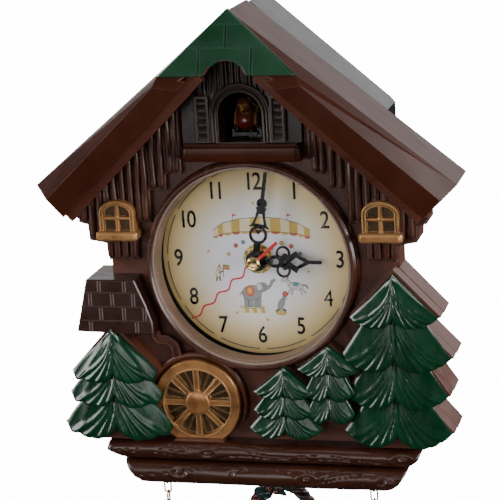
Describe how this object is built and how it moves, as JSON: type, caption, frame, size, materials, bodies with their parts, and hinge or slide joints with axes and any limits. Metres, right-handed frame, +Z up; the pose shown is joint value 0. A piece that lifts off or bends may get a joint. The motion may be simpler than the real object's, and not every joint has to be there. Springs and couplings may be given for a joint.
{
  "type": "wall clock",
  "caption": "Chalet-front wall clock with quartz movement, emerging bird, swinging wreath pendulum and pine-cone weights on chains.",
  "frame": {"origin": "centre of the keyhole's round entry hole, on the back face that lies against the wall", "axes": "+Y out of the back face towards the wall, +Z up, +X to the right seen from the front"},
  "size_m": [0.24, 0.1, 0.4323],
  "materials": {
    "brown_moulding": "glossy dark brown paint over carved texture",
    "gold_wash": "golden brown wash with dark grooves",
    "green_glaze": "glossy deep green with dark streaks",
    "dial_surround": "satin taupe",
    "clear_lens": "clear",
    "dial_paper": "printed paper disc, pale in the middle and golden at the rim",
    "black_plastic": "glossy black",
    "brass": "polished",
    "black_hands": "satin black",
    "red_hand": "satin red",
    "gear_plastic": "moulded, natural",
    "steel_arbor": "bright",
    "gold_chain": "bright wire",
    "cone_brown": "glossy dark brown",
    "wreath": "dark brown and green",
    "bird_paint": "red brown with golden streaks",
    "cell_wrap": "satin sleeve",
    "circuit_board": "solder mask"
  },
  "bodies": {
    "case": {"front_case": "brown_moulding", "cladding": "brown_moulding", "door_surround": "brown_moulding", "shutters": "brown_moulding", "perch_shelf": "brown_moulding", "windows": "gold_wash", "brick_chimney": "brown_moulding", "water_chute": "brown_moulding", "water_wheel": "gold_wash", "tree_left": "green_glaze", "tree_right": "green_glaze", "tree_small_left": "green_glaze", "tree_small_right": "green_glaze", "log_upper": "brown_moulding", "log_lower": "brown_moulding", "roof_shell": "brown_moulding", "gable_tiles": "green_glaze", "bezel_ring": "brown_moulding", "dial_ring": "dial_surround", "dial_lens": "clear_lens", "dial_plate": "dial_paper", "dial_mount": "black_plastic", "dial_washer": "brass", "hex_nut": "brass", "shaft_bush": "brass", "movement_case": "black_plastic", "movement_cover": "black_plastic", "small_cell": "cell_wrap", "bird_guide": "black_plastic", "rear_housing": "black_plastic", "battery_tray": "black_plastic", "large_cells": "cell_wrap", "sound_board": "circuit_board", "speaker": "steel_arbor", "pendulum_hook": "black_plastic", "chain_eyes": "steel_arbor"},
    "minute": {"minute_hand": "black_hands", "minute_wheel": "steel_arbor"},
    "hour": {"hour_hand": "black_hands", "hour_wheel": "gear_plastic"},
    "second": {"second_hand": "red_hand", "second_wheel": "steel_arbor", "second_cap": "brass"},
    "third": {"third_wheel": "gear_plastic"},
    "setting": {"motion_wheel": "gear_plastic", "set_knob": "black_plastic"},
    "bird": {"bird_figure": "bird_paint", "bird_carriage": "black_plastic"},
    "bird_drive": {"bird_pinion": "gear_plastic"},
    "battery_cover": {"battery_door": "black_plastic"},
    "switch": {"sound_switch": "steel_arbor"},
    "button": {"test_button": "red_hand"},
    "pendulum": {"pendulum_rod": "brass", "pendulum_wreath": "wreath"},
    "ring_left": {"ring_left": "steel_arbor"},
    "ring_right": {"ring_right": "steel_arbor"},
    "chain_left": {"chain_left": "gold_chain"},
    "chain_right": {"chain_right": "gold_chain"},
    "cone_left": {"cone_left": "cone_brown"},
    "cone_right": {"cone_right": "cone_brown"}
  },
  "joints": [
    {"name": "minute_spin", "type": "hinge", "parent": "case", "child": "minute", "pos_m": [0, -0.05, -0.1], "axis": [0, 1, 0], "continuous": true},
    {"name": "hour_spin", "type": "hinge", "parent": "case", "child": "hour", "pos_m": [0, -0.05, -0.1], "axis": [0, 1, 0], "continuous": true},
    {"name": "second_spin", "type": "hinge", "parent": "case", "child": "second", "pos_m": [0, -0.05, -0.1], "axis": [0, 1, 0], "continuous": true},
    {"name": "third_spin", "type": "hinge", "parent": "case", "child": "third", "pos_m": [0, -0.05, -0.0898], "axis": [0, 1, 0], "continuous": true},
    {"name": "setting_spin", "type": "hinge", "parent": "case", "child": "setting", "pos_m": [0, -0.05, -0.11], "axis": [0, 1, 0], "continuous": true},
    {"name": "bird_out", "type": "slide", "parent": "case", "child": "bird", "axis": [0, -1, 0], "range_m": [0, 0.02]},
    {"name": "bird_drive_turn", "type": "hinge", "parent": "case", "child": "bird_drive", "pos_m": [0, -0.038, -0.0324], "axis": [1, 0, 0], "range_deg": [0, 230]},
    {"name": "battery_cover_slide", "type": "slide", "parent": "case", "child": "battery_cover", "axis": [0, 0, -1], "range_m": [0, 0.038]},
    {"name": "sound_switch_slide", "type": "slide", "parent": "case", "child": "switch", "axis": [0, 0, 1], "range_m": [0, 0.006]},
    {"name": "test_button_press", "type": "slide", "parent": "case", "child": "button", "axis": [-1, 0, 0], "range_m": [0, 0.002], "stiffness_N_per_m": 300, "springref_m": -0.001},
    {"name": "pendulum_swing", "type": "hinge", "parent": "case", "child": "pendulum", "pos_m": [0, -0.025, -0.1845], "axis": [0, 1, 0], "range_deg": [-10, 10]},
    {"name": "ring_left_sway", "type": "hinge", "parent": "case", "child": "ring_left", "pos_m": [-0.0625, -0.055, -0.2349], "axis": [1, 0, 0], "range_deg": [-12, 12]},
    {"name": "chain_left_swing", "type": "hinge", "parent": "ring_left", "child": "chain_left", "pos_m": [-0.0625, -0.055, -0.2376], "axis": [0, 1, 0], "range_deg": [-15, 15]},
    {"name": "cone_left_swing", "type": "hinge", "parent": "chain_left", "child": "cone_left", "pos_m": [-0.0625, -0.055, -0.323], "axis": [0, 1, 0], "range_deg": [-20, 20]},
    {"name": "ring_right_sway", "type": "hinge", "parent": "case", "child": "ring_right", "pos_m": [0.0625, -0.055, -0.2349], "axis": [1, 0, 0], "range_deg": [-12, 12]},
    {"name": "chain_right_swing", "type": "hinge", "parent": "ring_right", "child": "chain_right", "pos_m": [0.0625, -0.055, -0.2376], "axis": [0, 1, 0], "range_deg": [-15, 15]},
    {"name": "cone_right_swing", "type": "hinge", "parent": "chain_right", "child": "cone_right", "pos_m": [0.0625, -0.055, -0.323], "axis": [0, 1, 0], "range_deg": [-20, 20]}
  ],
  "couplings": [
    {"joint": "hour_spin", "follows": "minute_spin", "ratio": 0.083333},
    {"joint": "second_spin", "follows": "minute_spin", "ratio": 60},
    {"joint": "third_spin", "follows": "minute_spin", "ratio": -8},
    {"joint": "setting_spin", "follows": "minute_spin", "ratio": -0.33333},
    {"joint": "bird_drive_turn", "follows": "bird_out", "rad_per_m": 200}
  ]
}
